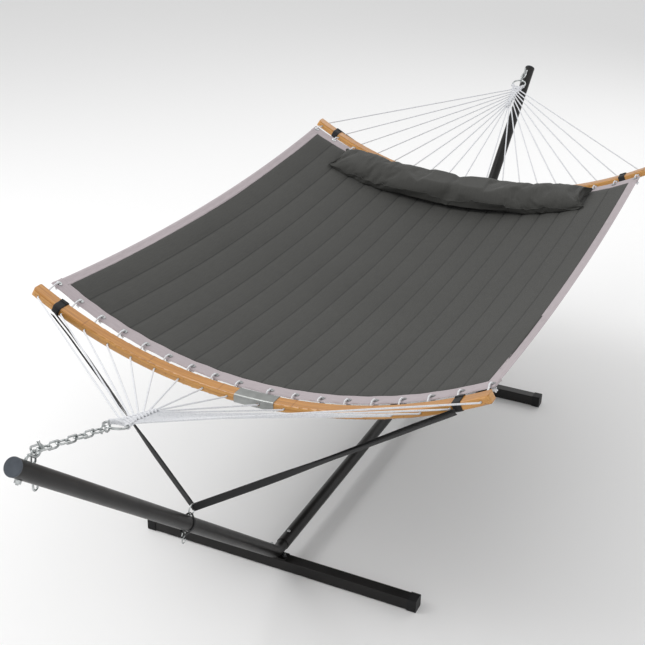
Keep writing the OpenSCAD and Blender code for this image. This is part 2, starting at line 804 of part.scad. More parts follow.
module eyelets() {
  h = band_t / 2;
  color("#c9ccd0") for (end = [near, far]) at_eyelets(end) rotate_extrude($fn = 24) {
    translate([eyelet_r - 0.6, -h - 1.2]) square([0.6, 2 * h + 2.4]);
    translate([eyelet_r - 0.6, h + 0.4]) square([eyelet_flange_r - eyelet_r + 0.6, 0.8]);
    translate([eyelet_r - 0.6, -h - 1.2]) square([eyelet_flange_r - eyelet_r + 0.6, 0.8]);
  }
}

// ---- Pillow --------------------------------------------------------------------------------

pillow_rows = 24;
pillow_columns = 10;
pillow_half = pillow_length / 2;
pillow_lift = padding_t / 2 + fabric_t + pillow_gap;

// How full the pillow is at a place: across (-1 to 1 over its width) and y
function pillow_fill(across, y) =
  let (e = abs(y) / pillow_half)
  pow(max(0, 1 - pow(abs(across), 3)), 0.5) * pow(max(0, 1 - pow(e, 5)), 0.5)
  * (1 - 0.22 * exp(-pow(y / 45, 2))) * (1 - 0.25 * e * e);

function pillow_point(across, y, h) =
  let (
    e = abs(y) / pillow_half,
    w = pillow_width / 2 * (1 - 0.1 * pow(e, 6)),
    mid = bed_edge(far, y) - pillow_back - pillow_width / 2,
    x = mid + across * w
  ) [x, y, bed_z(x, y)] + (pillow_lift + h) * bed_normal(y);

// The pillow's surface at a share of its thickness, with an extra offset for its fabric
function pillow_grid(share, extra) = [for (i = [0 : pillow_columns]) [for (j = [0 : pillow_rows])
  let (
    across = sin(90 * (2 * i / pillow_columns - 1)),
    y = pillow_half * sin(90 * (2 * j / pillow_rows - 1)),
    fill = pillow_fill(across, y),
    low = pillow_skin + 3 + 14 * (1 - fill) * (1 - fill)
  )
  pillow_point(across, y, low + share * (4 + (pillow_t - pillow_skin - 4) * fill) + extra)]];

module pillow_filling() {
  color("#d8d8d4") slab(pillow_grid(0, 0), pillow_grid(1, 0));
}

module pillow_top_fabric() {
  color("#4e4f4c") slab(pillow_grid(1, 0), pillow_grid(1, pillow_skin));
}

module pillow_bottom_fabric() {
  color("#4e4f4c") slab(pillow_grid(0, -pillow_skin), pillow_grid(0, 0));
}

// ---- Straps --------------------------------------------------------------------------------

module bar_wraps() {
  inner_h = bar_height + 2 * touch;
  inner_d = bar_depth + 2 * touch;
  color("#141415") for (end = [near, far], s = [-1, 1])
    bar_arc(end, s * wrap_y - webbing_w / 2, s * wrap_y + webbing_w / 2) difference() {
      rounded_rect(inner_h + 2 * webbing_t, inner_d + 2 * webbing_t, bar_corner + webbing_t);
      rounded_rect(inner_h, inner_d, bar_corner);
    }
}

strap_centre = arm_point(strap_reach, strap_ring_up);

// One layer of a strap: it stands upright beside the ring and turns flat towards the bar
module strap_layer(end, side, layer) {
  ring_point = strap_centre + [-strap_ring_r, side * (strap_ring_wire_r + webbing_t + 1.5), 0];
  bar_point = [
    bar_out(end) + (bar_depth + webbing_w) / 2 + webbing_t + 2,
    side * wrap_y,
    bar_z(wrap_y) - strap_low
  ];
  steps = 20;
  run = unit(bar_point - ring_point);
  upright = [0, 0, 1];
  flat = unit(cross(run, cross([1, 0, 0], run)));
  frames = [for (i = [0 : steps])
    let (
      t = i / steps,
      w = unit(mix(upright, flat, t * t * (3 - 2 * t))),
      n = unit(cross(run, w))
    ) [mix(ring_point, bar_point, t) + layer * mix(webbing_t / 2 + 0.6, 5, t) * n, w, n]];
  a = webbing_w / 2;
  b = webbing_t / 2;
  sweep(frames, [for (i = [0 : steps]) [[a, b], [-a, b], [-a, -b], [a, -b]]]);
}

module straps(end) {
  color("#141415") at_end(end) for (side = [left, right], layer = [-1, 1])
    strap_layer(end, side, layer);
}

module strap_rings() {
  color("#c9ccd0") both_ends() translate(strap_centre) rotate([90, 0, 0])
    ring(strap_ring_r, strap_ring_wire_r);
}

loop_w = webbing_w / 2;
strap_hook_r = loop_w / 2 + 2.25;
loop_up = tube_r + touch + 2 * strap_ring_wire_r + 2.6;
loop_down = tube_r + touch + 9;

module loop_outline(extra) {
  hull() {
    circle(tube_r + touch + extra);
    translate([-loop_up + 2, 0]) circle(2 + extra);
    translate([loop_down - 2, 0]) circle(2 + extra);
  }
}

module arm_loops() {
  color("#141415") both_ends() arm_frame(strap_reach - loop_w / 2) linear_extrude(loop_w)
    difference() {
      loop_outline(webbing_t);
      loop_outline(0);
    }
}

// Small open S-hooks, hung in the slack of the arm loops
module strap_hooks() {
  color("#c9ccd0") both_ends() arm_frame(strap_reach)
    translate([loop_down + webbing_t / 2 + 0.5, 0, 0])
    rotate([90, 0, 0]) rotate([0, 0, -90 - arm_angle]) s_shape(strap_hook_r, strap_hook_wire_r);
}

// ---- Output --------------------------------------------------------------------------------

at_end(near) foot();  // near_foot
at_end(far) foot();  // far_foot
foot_end_caps();
at_end(near) elbow();  // near_elbow
at_end(far) elbow();  // far_elbow
foot_bolts();
foot_nuts();
at_end(near) arm();  // near_arm
at_end(far) arm();  // far_arm
arm_end_caps();
beam();
at_end(near) arm_button();  // near_arm_button
at_end(far) arm_button();  // far_arm_button
at_end(near) beam_button();  // near_beam_button
at_end(far) beam_button();  // far_beam_button
button_springs();
at_end(near) hook();  // near_hook
at_end(far) hook();  // far_hook
hook_nuts();
hook_washers();
hook_links();
spare_chain();
at_end(near) chain(near_links);  // near_chain
at_end(near) s_hook(near_links);  // near_s_hook
at_end(far) s_hook(0);  // far_s_hook
at_end(near) hammock_ring(near);  // near_ring
at_end(far) hammock_ring(far);  // far_ring
at_end(near) clew(near);  // near_clew
at_end(far) clew(far);  // far_clew
ropes(near, left);  // near_left_ropes
ropes(near, right);  // near_right_ropes
ropes(far, left);  // far_left_ropes
ropes(far, right);  // far_right_ropes
bar_half_piece(near, left);  // near_left_bar
bar_half_piece(near, right);  // near_right_bar
bar_half_piece(far, left);  // far_left_bar
bar_half_piece(far, right);  // far_right_bar
bar_sleeve(near);  // near_bar_sleeve
bar_sleeve(far);  // far_bar_sleeve
sleeve_screws();
bed_top_fabric();
bed_padding();
bed_bottom_fabric();
end_band(near);  // near_end_band
end_band(far);  // far_end_band
side_bindings();
eyelets();
pillow_top_fabric();
pillow_filling();
pillow_bottom_fabric();
straps(near);  // near_straps
straps(far);  // far_straps
bar_wraps();
strap_rings();
arm_loops();
strap_hooks();
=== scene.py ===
import json
import math

import bmesh
import bpy
from mathutils import Matrix, Vector, noise


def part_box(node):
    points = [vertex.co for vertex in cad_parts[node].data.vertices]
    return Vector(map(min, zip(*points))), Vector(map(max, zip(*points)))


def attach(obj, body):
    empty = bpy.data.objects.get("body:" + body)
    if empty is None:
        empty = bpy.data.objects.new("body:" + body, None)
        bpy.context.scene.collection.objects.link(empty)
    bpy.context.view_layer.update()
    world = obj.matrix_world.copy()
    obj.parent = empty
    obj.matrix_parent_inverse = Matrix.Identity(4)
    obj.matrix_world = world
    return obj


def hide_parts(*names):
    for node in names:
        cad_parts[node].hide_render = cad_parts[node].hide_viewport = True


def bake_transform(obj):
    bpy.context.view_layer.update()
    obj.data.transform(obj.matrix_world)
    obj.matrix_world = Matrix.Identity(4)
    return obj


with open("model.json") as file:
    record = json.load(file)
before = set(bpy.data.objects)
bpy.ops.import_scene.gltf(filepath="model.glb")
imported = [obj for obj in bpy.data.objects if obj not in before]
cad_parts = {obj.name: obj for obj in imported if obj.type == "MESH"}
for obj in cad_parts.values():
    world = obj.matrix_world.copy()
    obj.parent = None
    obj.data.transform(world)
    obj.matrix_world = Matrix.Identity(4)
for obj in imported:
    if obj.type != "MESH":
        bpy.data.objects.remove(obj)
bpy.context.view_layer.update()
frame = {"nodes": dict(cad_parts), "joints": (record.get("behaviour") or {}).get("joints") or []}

scene = bpy.context.scene
nodes = frame["nodes"]
near, far, left, right = -1, 1, 1, -1


def mix(a, b, t):
    return a + (b - a) * t


def smooth(t):
    t = max(0.0, min(1.0, t))
    return t * t * (3 - 2 * t)


def middle(node):
    low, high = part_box(node)
    return (Vector(low) + Vector(high)) / 2


def ripple(x, y, scale, seed=0.0):
    return noise.noise(Vector((x * scale, y * scale, seed)))


def addPiece(name, mesh, material, body=None):
    for face in mesh.polygons:
        face.use_smooth = True
    piece = bpy.data.objects.new(name, mesh)
    scene.collection.objects.link(piece)
    mesh.materials.clear()
    mesh.materials.append(material)
    if body:
        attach(piece, body)
    return piece


def addSubdivision(piece, levels):
    modifier = piece.modifiers.new("Subdivision", "SUBSURF")
    modifier.levels = levels
    modifier.render_levels = levels


# A closed sheet of cloth: a grid over (u, v) from 0 to 1 with a face side and a back side
def clothMesh(name, counts, uvSize, face, back, rimCuts=0):
    bm = bmesh.new()
    uvLayer = bm.loops.layers.uv.new("UVMap")
    bmesh.ops.create_grid(bm, x_segments=counts[0], y_segments=counts[1], size=0.5)
    for polygon in bm.faces:
        for loop in polygon.loops:
            spot = loop.vert.co
            loop[uvLayer].uv = ((spot.x + 0.5) * uvSize[0], (spot.y + 0.5) * uvSize[1])
    faceVerts = bm.verts[:]
    copied = bmesh.ops.duplicate(bm, geom=bm.verts[:] + bm.edges[:] + bm.faces[:])["geom"]
    backVerts = [item for item in copied if isinstance(item, bmesh.types.BMVert)]
    backFaces = [item for item in copied if isinstance(item, bmesh.types.BMFace)]
    rim = [edge for edge in bm.edges if edge.is_boundary]
    for vert in faceVerts:
        vert.co = face(vert.co.x + 0.5, vert.co.y + 0.5)
    for vert in backVerts:
        vert.co = back(vert.co.x + 0.5, vert.co.y + 0.5)
    bmesh.ops.reverse_faces(bm, faces=backFaces)
    walls = bmesh.ops.bridge_loops(bm, edges=rim)
    if rimCuts:
        bmesh.ops.subdivide_edges(bm, edges=walls["edges"], cuts=rimCuts, use_grid_fill=True)
    bmesh.ops.recalc_face_normals(bm, faces=bm.faces)
    mesh = bpy.data.meshes.new(name)
    bm.to_mesh(mesh)
    bm.free()
    return mesh


# Corners of a line of points turned into short bends
def rounded(points, radius, steps=4):
    line = [Vector(points[0])]
    for a, b, c in zip(points, points[1:], points[2:]):
        a, b, c = Vector(a), Vector(b), Vector(c)
        reach = min(radius, (a - b).length * 0.45, (c - b).length * 0.45)
        start = b + (a - b).normalized() * reach
        end = b + (c - b).normalized() * reach
        for step in range(steps + 1):
            t = step / steps
            line.append(start * (1 - t) ** 2 + b * 2 * t * (1 - t) + end * t * t)
    line.append(Vector(points[-1]))
    return line


# Round cords along lines of points, as one mesh
def cordMesh(name, lines, radius, sides=2, closed=False):
    curve = bpy.data.curves.new(name, "CURVE")
    curve.dimensions = "3D"
    curve.bevel_depth = radius
    curve.bevel_resolution = sides
    curve.use_fill_caps = True
    for line in lines:
        spline = curve.splines.new("POLY")
        spline.points.add(len(line) - 1)
        for point, spot in zip(spline.points, line):
            point.co = (*spot, 1)
        spline.use_cyclic_u = closed
    holder = bpy.data.objects.new(name + "Line", curve)
    scene.collection.objects.link(holder)
    bpy.context.view_layer.update()
    evaluated = holder.evaluated_get(bpy.context.evaluated_depsgraph_get())
    mesh = bpy.data.meshes.new_from_object(evaluated)
    mesh.name = name
    bpy.data.objects.remove(holder)
    bpy.data.curves.remove(curve)
    return mesh


def startMaterial(name, roughness=0.5, metallic=0.0):
    material = bpy.data.materials.new(name)
    material.use_nodes = True
    shader = material.node_tree.nodes["Principled BSDF"]
    shader.inputs["Roughness"].default_value = roughness
    shader.inputs["Metallic"].default_value = metallic
    return material, material.node_tree, shader


def addNode(tree, kind, **values):
    node = tree.nodes.new(kind)
    for key, value in values.items():
        if key in node.inputs:
            node.inputs[key].default_value = value
        else:
            setattr(node, key, value)
    return node


def calculate(tree, operation, a, b=None, c=None):
    node = tree.nodes.new("ShaderNodeMath")
    node.operation = operation
    for socket, value in zip(node.inputs, (a, b, c)):
        if value is None:
            continue
        if isinstance(value, (int, float)):
            socket.default_value = value
        else:
            tree.links.new(value, socket)
    return node.outputs[0]


def addNoise(tree, vector, scale, detail=3.0, roughness=0.55):
    node = addNode(tree, "ShaderNodeTexNoise", Scale=scale, Detail=detail, Roughness=roughness)
    tree.links.new(vector, node.inputs["Vector"])
    return node.outputs["Fac"]


def addRamp(tree, factor, stops):
    ramp = tree.nodes.new("ShaderNodeValToRGB")
    elements = ramp.color_ramp.elements
    while len(elements) < len(stops):
        elements.new(0.5)
    for element, (place, color) in zip(elements, stops):
        element.position = place
        element.color = (*color, 1)
    tree.links.new(factor, ramp.inputs["Fac"])
    return ramp.outputs["Color"]


def addBump(tree, shader, height, strength, distance, under=None):
    bump = addNode(tree, "ShaderNodeBump", Strength=strength, Distance=distance)
    tree.links.new(height, bump.inputs["Height"])
    if under is not None:
        tree.links.new(under, bump.inputs["Normal"])
    tree.links.new(bump.outputs["Normal"], shader.inputs["Normal"])
    return bump.outputs["Normal"]


def addRoughness(tree, shader, factor, low, high):
    span = addNode(tree, "ShaderNodeMapRange")
    span.inputs["To Min"].default_value = low
    span.inputs["To Max"].default_value = high
    tree.links.new(factor, span.inputs["Value"])
    tree.links.new(span.outputs["Result"], shader.inputs["Roughness"])


# Hard finishes: two tones in soft clouds, a grain in the surface and a roughness that varies
def hardFinish(name, dark, light, cloud, grain, rough, bump, metallic=0.0, shine=0.5):
    material, tree, shader = startMaterial(name, rough[0], metallic)
    place = addNode(tree, "ShaderNodeTexCoord").outputs["Object"]
    clouds = addNoise(tree, place, cloud, 4.0)
    tree.links.new(addRamp(tree, clouds, [(0.35, dark), (0.65, light)]), shader.inputs["Base Color"])
    fine = addNoise(tree, place, grain, 2.0)
    addRoughness(tree, shader, addNoise(tree, place, cloud * 3, 3.0), *rough)
    addBump(tree, shader, fine, bump, 0.0004)
    shader.inputs["Specular IOR Level"].default_value = shine
    return material


# Woven cloth on its own UV map in metres: threads, slubs, and seam lines every so often, with painted shade
# darkening the cloth along each seam crease
def clothFinish(name, dark, light, thread, sheen, rough=0.85, seams=0, seamSpan=1.0, paintedSeamShade=0.55):
    material, tree, shader = startMaterial(name, rough)
    shader.inputs["Sheen Weight"].default_value = sheen
    shader.inputs["Sheen Roughness"].default_value = 0.5
    coordinates = addNode(tree, "ShaderNodeTexCoord")
    uv = addNode(tree, "ShaderNodeSeparateXYZ")
    tree.links.new(coordinates.outputs["UV"], uv.inputs[0])
    warp = calculate(tree, "SINE", calculate(tree, "MULTIPLY", uv.outputs[0], 2 * math.pi / thread))
    weft = calculate(tree, "SINE", calculate(tree, "MULTIPLY", uv.outputs[1], 2 * math.pi / thread))
    weave = calculate(tree, "MULTIPLY", warp, weft)
    stretched = addNode(tree, "ShaderNodeMapping")
    stretched.inputs["Scale"].default_value = (25, 260, 1)
    tree.links.new(coordinates.outputs["UV"], stretched.inputs["Vector"])
    slubs = addNoise(tree, stretched.outputs["Vector"], 1.0, 3.0)
    clouds = addNoise(tree, coordinates.outputs["Object"], 2.2, 3.0)
    slubShare = calculate(tree, "MULTIPLY", slubs, 0.6)
    tone = calculate(tree, "ADD", slubShare, calculate(tree, "MULTIPLY", clouds, 0.4))
    color = addRamp(tree, tone, [(0.3, dark), (0.7, light)])
    height = calculate(tree, "ADD", calculate(tree, "MULTIPLY", weave, 0.25), slubs)
    if seams:
        across = calculate(tree, "MULTIPLY", uv.outputs[1], seams / seamSpan)
        place = calculate(tree, "FRACT", calculate(tree, "ADD", across, 0.5))
        gap = calculate(tree, "ABSOLUTE", calculate(tree, "SUBTRACT", place, 0.5))
        line = addNode(tree, "ShaderNodeMapRange", interpolation_type="SMOOTHSTEP")
        line.inputs["From Max"].default_value = 0.055
        tree.links.new(gap, line.inputs["Value"])
        dashes = calculate(tree, "SINE", calculate(tree, "MULTIPLY", uv.outputs[0], 2 * math.pi / 0.006))
        # painted shade: the cloth colour is multiplied darker along each seam line, where the stitched crease
        # falls in shade; the stitch dashes go only into the bump
        shade = addNode(tree, "ShaderNodeMix", data_type="RGBA", blend_type="MULTIPLY")
        shade.inputs["Factor"].default_value = 1.0
        tree.links.new(color, shade.inputs[6])
        paintedSeamShadeTone = addRamp(tree, line.outputs["Result"], [(0.0, (paintedSeamShade,) * 3), (1.0, (1, 1, 1))])
        tree.links.new(paintedSeamShadeTone, shade.inputs[7])
        color = shade.outputs[2]
        stitch = calculate(tree, "MULTIPLY", calculate(tree, "SUBTRACT", 1.0, line.outputs["Result"]), dashes)
        height = calculate(tree, "ADD", height, calculate(tree, "MULTIPLY", stitch, 0.5))
    tree.links.new(color, shader.inputs["Base Color"])
    addBump(tree, shader, height, 0.35, 0.0006)
    return material


# Bamboo strips glued side by side; the bars are arcs, so the grain follows the arc
def bambooFinish(name, axisZ):
    material, tree, shader = startMaterial(name, 0.36)
    shader.inputs["Coat Weight"].default_value = 0.35
    shader.inputs["Coat Roughness"].default_value = 0.22
    spot = addNode(tree, "ShaderNodeSeparateXYZ")
    tree.links.new(addNode(tree, "ShaderNodeTexCoord").outputs["Object"], spot.inputs[0])
    drop = calculate(tree, "SUBTRACT", axisZ, spot.outputs[2])
    sideways = spot.outputs[1]
    squares = calculate(
        tree, "ADD", calculate(tree, "MULTIPLY", drop, drop), calculate(tree, "MULTIPLY", sideways, sideways),
    )
    radius = calculate(tree, "SQRT", squares)
    run = calculate(tree, "MULTIPLY", calculate(tree, "ARCTAN2", spot.outputs[1], drop), 1.4)
    strip = calculate(tree, "FLOOR", calculate(tree, "MULTIPLY", radius, 1 / 0.0062))
    scatter = calculate(tree, "SINE", calculate(tree, "MULTIPLY", strip, 12.99))
    shift = calculate(tree, "FRACT", calculate(tree, "MULTIPLY", scatter, 437.5))
    grainPlace = addNode(tree, "ShaderNodeCombineXYZ")
    tree.links.new(calculate(tree, "MULTIPLY", spot.outputs[0], 420), grainPlace.inputs[0])
    along = calculate(tree, "MULTIPLY", run, 7)
    along = calculate(tree, "ADD", along, calculate(tree, "MULTIPLY", shift, 40))
    tree.links.new(along, grainPlace.inputs[1])
    tree.links.new(calculate(tree, "MULTIPLY", radius, 420), grainPlace.inputs[2])
    grain = addNoise(tree, grainPlace.outputs[0], 1.0, 4.0, 0.6)
    # growth rings of the cane, at a different place in each strip
    ringPlace = calculate(tree, "ADD", calculate(tree, "MULTIPLY", run, 1 / 0.23), shift)
    ringPlace = calculate(tree, "FRACT", ringPlace)
    knot = calculate(tree, "ABSOLUTE", calculate(tree, "SUBTRACT", ringPlace, 0.5))
    knotShade = addNode(tree, "ShaderNodeMapRange", interpolation_type="SMOOTHSTEP")
    knotShade.inputs["From Max"].default_value = 0.014
    knotShade.inputs["To Min"].default_value = 0.72
    tree.links.new(knot, knotShade.inputs["Value"])
    mixed = calculate(tree, "MULTIPLY", grain, 0.75)
    mixed = calculate(tree, "ADD", mixed, calculate(tree, "MULTIPLY", shift, 0.25))
    tone = calculate(tree, "MULTIPLY", mixed, knotShade.outputs["Result"])
    canes = [(0.2, (0.20, 0.072, 0.014)), (0.42, (0.45, 0.200, 0.042)), (0.62, (0.60, 0.310, 0.078))]
    color = addRamp(tree, tone, canes)
    tree.links.new(color, shader.inputs["Base Color"])
    addBump(tree, shader, tone, 0.3, 0.0004)
    return material


finishes = {
    "powderCoat": hardFinish(
        "PowderCoat", (0.0055, 0.0050, 0.0048), (0.0100, 0.0092, 0.0088), 9, 900, (0.30, 0.46), 0.35,
        shine=0.32,
    ),
    "blackCap": hardFinish(
        "BlackCap", (0.0060, 0.0060, 0.0065), (0.0110, 0.0110, 0.0120), 20, 700, (0.45, 0.6), 0.3, shine=0.25,
    ),
    "greyCap": hardFinish(
        "GreyCap", (0.055, 0.064, 0.078), (0.075, 0.086, 0.102), 40, 900, (0.4, 0.52), 0.3, shine=0.3,
    ),
    "zinc": hardFinish(
        "ZincPlate", (0.34, 0.36, 0.36), (0.58, 0.60, 0.60), 70, 600, (0.20, 0.38), 0.25, metallic=1.0,
    ),
    "springSteel": hardFinish(
        "SpringSteel", (0.25, 0.26, 0.28), (0.38, 0.39, 0.41), 80, 600, (0.3, 0.45), 0.2, metallic=1.0,
    ),
    "blackNut": hardFinish("BlackNut", (0.016, 0.016, 0.018), (0.03, 0.03, 0.033), 60, 900, (0.35, 0.5), 0.3),
    "sleeve": hardFinish(
        "SatinSleeve", (0.30, 0.31, 0.30), (0.38, 0.39, 0.38), 30, 900, (0.34, 0.46), 0.2, metallic=0.85,
    ),
    # the charcoal bed's seam lines carry painted shade, set by the last value
    "charcoal": clothFinish(
        "CharcoalCloth", (0.036, 0.036, 0.033), (0.051, 0.051, 0.047), 0.0016, 0.04, seams=18,
        seamSpan=1.324, paintedSeamShade=0.42,
    ),
    "pillowCloth": clothFinish("PillowCloth", (0.034, 0.034, 0.031), (0.048, 0.048, 0.044), 0.0016, 0.05),
    "taupe": clothFinish("TaupeCloth", (0.34, 0.295, 0.31), (0.43, 0.38, 0.395), 0.0018, 0.1),
    "webbing": clothFinish(
        "BlackWebbing", (0.004, 0.004, 0.0045), (0.010, 0.010, 0.011), 0.0024, 0.03, rough=0.75,
    ),
}


def ropeFinish():
    material, tree, shader = startMaterial("WhiteRope", 0.8)
    shader.inputs["Sheen Weight"].default_value = 0.2
    place = addNode(tree, "ShaderNodeTexCoord").outputs["Object"]
    strands = addNode(tree, "ShaderNodeTexVoronoi", Scale=420.0)
    tree.links.new(place, strands.inputs["Vector"])
    color = addRamp(tree, strands.outputs["Distance"], [(0.0, (0.82, 0.83, 0.85)), (0.9, (0.56, 0.57, 0.60))])
    tree.links.new(color, shader.inputs["Base Color"])
    addBump(tree, shader, strands.outputs["Distance"], 0.5, 0.0008)
    return material


finishes["rope"] = ropeFinish()
print("materials made")

# the hard parts keep their exact shape and take a finish
hardParts = {
    "powderCoat": ["near_foot", "far_foot", "near_elbow", "far_elbow", "near_arm", "far_arm", "beam"],
    "blackCap": ["foot_end_caps"],
    "greyCap": ["arm_end_caps"],
    "zinc": [
        "foot_bolts", "hook_nuts", "hook_washers", "near_hook", "far_hook", "hook_links", "spare_chain",
        "near_chain", "near_s_hook", "far_s_hook", "near_ring", "far_ring", "sleeve_screws", "eyelets",
        "strap_rings", "strap_hooks", "near_arm_button", "far_arm_button", "near_beam_button",
        "far_beam_button",
    ],
    "springSteel": ["button_springs"],
    "blackNut": ["foot_nuts"],
    "sleeve": ["near_bar_sleeve", "far_bar_sleeve"],
    "bamboo": ["near_left_bar", "near_right_bar", "far_left_bar", "far_right_bar"],
}

# two arched bars with the bed hung between them
bar = {"halfSpan": 0.700, "rise": 0.185, "depth": 0.042, "height": 0.025, "corner": 0.005}
bar["radius"] = (bar["halfSpan"] ** 2 + bar["rise"] ** 2) / (2 * bar["rise"])
bar["x"] = {near: middle("near_left_bar").x, far: middle("far_left_bar").x}
bar["axisZ"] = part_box("near_left_bar")[0][2] + bar["height"] / 2 + bar["radius"]
finishes["bamboo"] = bambooFinish("Bamboo", bar["axisZ"])
for finish, names in hardParts.items():
    for name in names:
        mesh = nodes[name].data
        mesh.materials.clear()
        mesh.materials.append(finishes[finish])

bed = {
    "halfWidth": 0.690, "sag": 0.055, "lift": 0.0085, "gap": 0.012, "cornerGap": 0.024,
    "bandWidth": 0.050, "bindingWidth": 0.028, "channels": 18, "puff": 0.0042, "halfThick": 0.0030,
    "eyelet": 0.022, "flatSize": (1.82, 1.324),
}
ropes = {
    "perHalf": 9, "pitch": 0.0785, "first": 0.050, "radius": 0.0026, "clewLength": 0.180, "firstExit": 0.045,
}
webbing = {"width": 0.025, "thick": 0.0018, "ropeHole": 0.004, "besideHole": 0.002, "afterRope": 7}
webbing["y"] = (
    ropes["first"] + webbing["afterRope"] * ropes["pitch"] + webbing["ropeHole"]
    + webbing["besideHole"] + webbing["width"] / 2
)


def barAngle(y):
    return math.asin(max(-1, min(1, y / bar["radius"])))


def barZ(y):
    return bar["axisZ"] - math.sqrt(bar["radius"] ** 2 - y * y)


def upward(y):
    return Vector((0, -math.sin(barAngle(y)), math.cos(barAngle(y))))


def edgeX(end, y):
    cornerGap = bed["cornerGap"] * (y / bed["halfWidth"]) ** 2
    return bar["x"][end] - end * (bar["depth"] / 2 + bed["gap"] + cornerGap)


def bedPoint(x, y, height=0.0):
    t = (x - bar["x"][near]) / (bar["x"][far] - bar["x"][near])
    z = barZ(y) + bed["lift"] - 4 * bed["sag"] * t * (1 - t)
    return Vector((x, y, z)) + height * upward(y)


# stitched channels run the whole length of the bed
def quiltHeight(u, v, side):
    channel = v * bed["channels"]
    puff = math.sqrt(abs(math.sin(math.pi * channel)))
    x, y = u * 1.8, v * 1.32
    ends = smooth(min(u, 1 - u) / 0.02)
    nearSeam = 1 - abs(math.sin(math.pi * channel))
    pucker = ripple(x, round(channel) * 3.1, 26, 7 * side) * 0.0011 * nearSeam
    swell = 1 + 0.35 * ripple(x, int(channel) * 1.7, 3.5, 3 + side)
    return bed["halfThick"] + (bed["puff"] * puff * swell + pucker) * ends


def quiltPoint(u, v, side):
    half = bed["halfWidth"] - bed["bindingWidth"] + 0.003
    y = mix(-half, half, v)
    x = mix(edgeX(near, y) + bed["bandWidth"] - 0.003, edgeX(far, y) - bed["bandWidth"] + 0.003, u)
    drape = 0.0035 * ripple(x, y, 2.4, 11) * smooth(min(u, 1 - u) / 0.15)
    return bedPoint(x, y, side * quiltHeight(u, v, side) + drape)


quiltMesh = clothMesh(
    "quiltedBed", (130, bed["channels"] * 8), bed["flatSize"],
    lambda u, v: quiltPoint(u, v, 1), lambda u, v: quiltPoint(u, v, -1),
)
quilt = addPiece("quiltedBed", quiltMesh, finishes["charcoal"], "hammock")
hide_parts("bed_top_fabric", "bed_padding", "bed_bottom_fabric")
print("quilted bed made")


# end bands and side bindings are folded over the quilt's edges
def scallop(y):
    step = (abs(y) - ropes["first"]) / ropes["pitch"]
    return 0.5 - 0.5 * math.cos(2 * math.pi * step)


def bandPoint(end, u, v, side):
    y = mix(-bed["halfWidth"], bed["halfWidth"], u)
    inner = bed["bandWidth"] + 0.006 + 0.0022 * ripple(y, 0, 14, end) + 0.0012 * math.sin(y * 81)
    outer = 0.0022 * scallop(y)
    x = edgeX(end, y) - end * mix(outer, inner, v)
    fold = math.sqrt(max(0.0, 1 - (2 * v - 1) ** 8))
    thick = (0.0030 + 0.0024 * smooth((v - 0.75) / 0.2)) * fold + 0.0004 * ripple(y, v * 0.05, 40, 5)
    tug = -0.0012 * (1 - scallop(y)) * math.exp(-((v - 0.42) / 0.2) ** 2)
    return bedPoint(x, y, side * (thick + tug) if side > 0 else -thick)


for end, name in ((near, "near"), (far, "far")):
    mesh = clothMesh(
        name + "EndBand", (220, 10), (1.44, 0.056),
        lambda u, v, end=end: bandPoint(end, u, v, 1), lambda u, v, end=end: bandPoint(end, u, v, -1),
    )
    piece = addPiece(name + "EndBand", mesh, finishes["taupe"], "hammock")
    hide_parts(name + "_end_band")


def bindingPoint(side, u, v, face):
    outer = bed["halfWidth"]
    inner = outer - bed["bindingWidth"] - 0.004
    y = side * mix(inner, outer, v)
    x = mix(edgeX(near, y) + bed["bandWidth"] - 0.004, edgeX(far, y) - bed["bandWidth"] + 0.004, u)
    fold = math.sqrt(max(0.0, 1 - (2 * v - 1) ** 8))
    thick = (0.0032 + 0.0022 * smooth((0.3 - v) / 0.2)) * fold
    wave = 0.0011 * ripple(x, side, 16, 2) * math.sin(math.pi * min(1, u * 8)) * v
    return bedPoint(x, y, face * thick + wave)


for side, name in ((left, "left"), (right, "right")):
    mesh = clothMesh(
        name + "SideBinding", (160, 8), (1.82, 0.032),
        lambda u, v, side=side: bindingPoint(side, u, v, 1),
        lambda u, v, side=side: bindingPoint(side, u, v, -1),
    )
    piece = addPiece(name + "SideBinding", mesh, finishes["taupe"], "hammock")
    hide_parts("side_bindings")
print("bands and bindings made")

